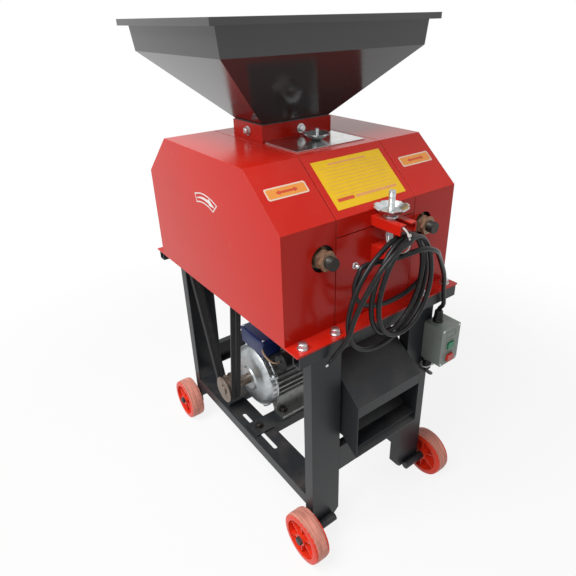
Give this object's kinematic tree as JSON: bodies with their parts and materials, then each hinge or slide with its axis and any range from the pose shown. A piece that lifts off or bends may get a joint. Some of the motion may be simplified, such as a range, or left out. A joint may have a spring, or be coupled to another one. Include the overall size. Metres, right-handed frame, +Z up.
{
  "type": "grain grinder",
  "caption": "Wheeled electric roller mill for grain: hopper with slide gate over geared rollers in a red housing, belt driven from a ribbed motor, discharge chute and push-button box.",
  "frame": {"origin": "on the floor, midway between the four wheels", "axes": "+Z up, the front with the switch box and the chute's mouth faces -Y, the belt side is -X"},
  "size_m": [0.55, 0.7585, 1.166],
  "materials": {
    "frame_paint": "satin dark grey paint",
    "red_paint": "gloss red paint",
    "hopper_paint": "gloss dark grey paint",
    "stainless": "brushed stainless sheet",
    "zinc": "zinc plated",
    "roller_steel": "machined steel",
    "cast_iron": "dark cast iron",
    "bright_steel": "turned steel",
    "nut_steel": "oiled steel",
    "belt_rubber": "black belt rubber",
    "shield_alloy": "silver painted casting",
    "motor_alloy": "dark grey casting",
    "blue_plastic": "dark blue plastic",
    "black_plastic": "black plastic",
    "wheel_plastic": "orange-red plastic",
    "box_plastic": "light grey-green plastic",
    "green_plastic": "green",
    "red_plastic": "red",
    "cord_rubber": "black cord sheath"
  },
  "bodies": {
    "frame": {"front_top_rail": "frame_paint", "front_cross_rail": "frame_paint", "front_motor_bar": "frame_paint", "front_left_leg": "frame_paint", "front_right_leg": "frame_paint", "rear_top_rail": "frame_paint", "rear_cross_rail": "frame_paint", "rear_motor_bar": "frame_paint", "rear_left_leg": "frame_paint", "rear_right_leg": "frame_paint", "left_bottom_rail": "frame_paint", "left_cover": "red_paint", "left_side_frame": "cast_iron", "left_fixed_bearing": "cast_iron", "right_bottom_rail": "frame_paint", "right_cover": "red_paint", "right_side_frame": "cast_iron", "right_fixed_bearing": "cast_iron", "base_plate": "red_paint", "centre_cover": "red_paint", "front_panel": "red_paint", "hopper": "hopper_paint", "hopper_collar": "red_paint", "clamp_fork": "red_paint", "clamp_bolt": "red_paint", "outer_belt": "belt_rubber", "inner_belt": "belt_rubber", "motor_body": "motor_alloy", "motor_end_shield": "shield_alloy", "motor_fan_cover": "motor_alloy", "motor_terminal_box": "blue_plastic", "motor_capacitor": "black_plastic", "discharge_chute": "frame_paint", "switch_box_base": "box_plastic", "switch_box_cover": "box_plastic", "cord_coil": "cord_rubber", "cord_lead": "cord_rubber", "cord_tail": "cord_rubber", "motor_cable": "cord_rubber", "cord_end": "cord_rubber"},
    "fixed_rotor": {"fixed_roller": "roller_steel", "fixed_roller_gear": "roller_steel", "roller_pulley": "cast_iron"},
    "carriage": {"left_sliding_bearing": "cast_iron", "right_sliding_bearing": "cast_iron"},
    "moving_rotor": {"moving_roller": "roller_steel", "moving_roller_gear": "roller_steel"},
    "motor_rotor": {"motor_shaft": "bright_steel", "motor_pulley": "bright_steel"},
    "left_nut": {"left_gap_nut": "nut_steel"},
    "right_nut": {"right_gap_nut": "nut_steel"},
    "gate": {"slide_gate": "stainless"},
    "star_nut": {"gate_star_nut": "zinc"},
    "handwheel": {"clamp_handwheel": "zinc"},
    "front_left_roll": {"front_left_wheel": "wheel_plastic"},
    "front_right_roll": {"front_right_wheel": "wheel_plastic"},
    "rear_left_roll": {"rear_left_wheel": "wheel_plastic"},
    "rear_right_roll": {"rear_right_wheel": "wheel_plastic"},
    "start": {"start_button": "green_plastic"},
    "stop": {"stop_button": "red_plastic"}
  },
  "joints": [
    {"name": "fixed_roller_spin", "type": "hinge", "parent": "frame", "child": "fixed_rotor", "pos_m": [0, 0.1128, 0.757], "axis": [1, 0, 0], "continuous": true},
    {"name": "roller_gap_slide", "type": "slide", "parent": "frame", "child": "carriage", "axis": [0, -1, 0], "range_m": [0, 0.003]},
    {"name": "moving_roller_spin", "type": "hinge", "parent": "carriage", "child": "moving_rotor", "pos_m": [0, -0.0428, 0.757], "axis": [1, 0, 0], "continuous": true},
    {"name": "motor_spin", "type": "hinge", "parent": "frame", "child": "motor_rotor", "pos_m": [0, 0.068, 0.2496], "axis": [1, 0, 0], "continuous": true},
    {"name": "left_gap_nut_turn", "type": "hinge", "parent": "frame", "child": "left_nut", "pos_m": [-0.14, -0.2663, 0.757], "axis": [0, -1, 0], "range_deg": [0, 541]},
    {"name": "right_gap_nut_turn", "type": "hinge", "parent": "frame", "child": "right_nut", "pos_m": [0.14, -0.2663, 0.757], "axis": [0, -1, 0], "range_deg": [0, 541]},
    {"name": "gate_slide", "type": "slide", "parent": "frame", "child": "gate", "axis": [0, -1, 0], "range_m": [0, 0.055]},
    {"name": "gate_nut_turn", "type": "hinge", "parent": "frame", "child": "star_nut", "pos_m": [0.008, -0.081, 0.925], "axis": [0, 0, 1], "range_deg": [0, 360]},
    {"name": "handwheel_turn", "type": "hinge", "parent": "frame", "child": "handwheel", "pos_m": [0.003, -0.314, 0.8153], "axis": [0, 0, 1], "range_deg": [0, 720]},
    {"name": "front_left_wheel_spin", "type": "hinge", "parent": "frame", "child": "front_left_roll", "pos_m": [-0.2115, -0.31, 0.0625], "axis": [1, 0, 0], "continuous": true},
    {"name": "front_right_wheel_spin", "type": "hinge", "parent": "frame", "child": "front_right_roll", "pos_m": [0.2115, -0.31, 0.0625], "axis": [1, 0, 0], "continuous": true},
    {"name": "rear_left_wheel_spin", "type": "hinge", "parent": "frame", "child": "rear_left_roll", "pos_m": [-0.2115, 0.31, 0.0625], "axis": [1, 0, 0], "continuous": true},
    {"name": "rear_right_wheel_spin", "type": "hinge", "parent": "frame", "child": "rear_right_roll", "pos_m": [0.2115, 0.31, 0.0625], "axis": [1, 0, 0], "continuous": true},
    {"name": "start_button_press", "type": "slide", "parent": "frame", "child": "start", "axis": [0, 1, 0], "range_m": [0, 0.004], "stiffness_N_per_m": 400},
    {"name": "stop_button_press", "type": "slide", "parent": "frame", "child": "stop", "axis": [0, 1, 0], "range_m": [0, 0.004], "stiffness_N_per_m": 400}
  ],
  "couplings": [
    {"joint": "moving_roller_spin", "follows": "fixed_roller_spin", "ratio": -1},
    {"joint": "motor_spin", "follows": "fixed_roller_spin", "ratio": 4.3333},
    {"joint": "left_gap_nut_turn", "follows": "roller_gap_slide", "rad_per_m": 3141.6},
    {"joint": "right_gap_nut_turn", "follows": "roller_gap_slide", "rad_per_m": 3141.6}
  ]
}
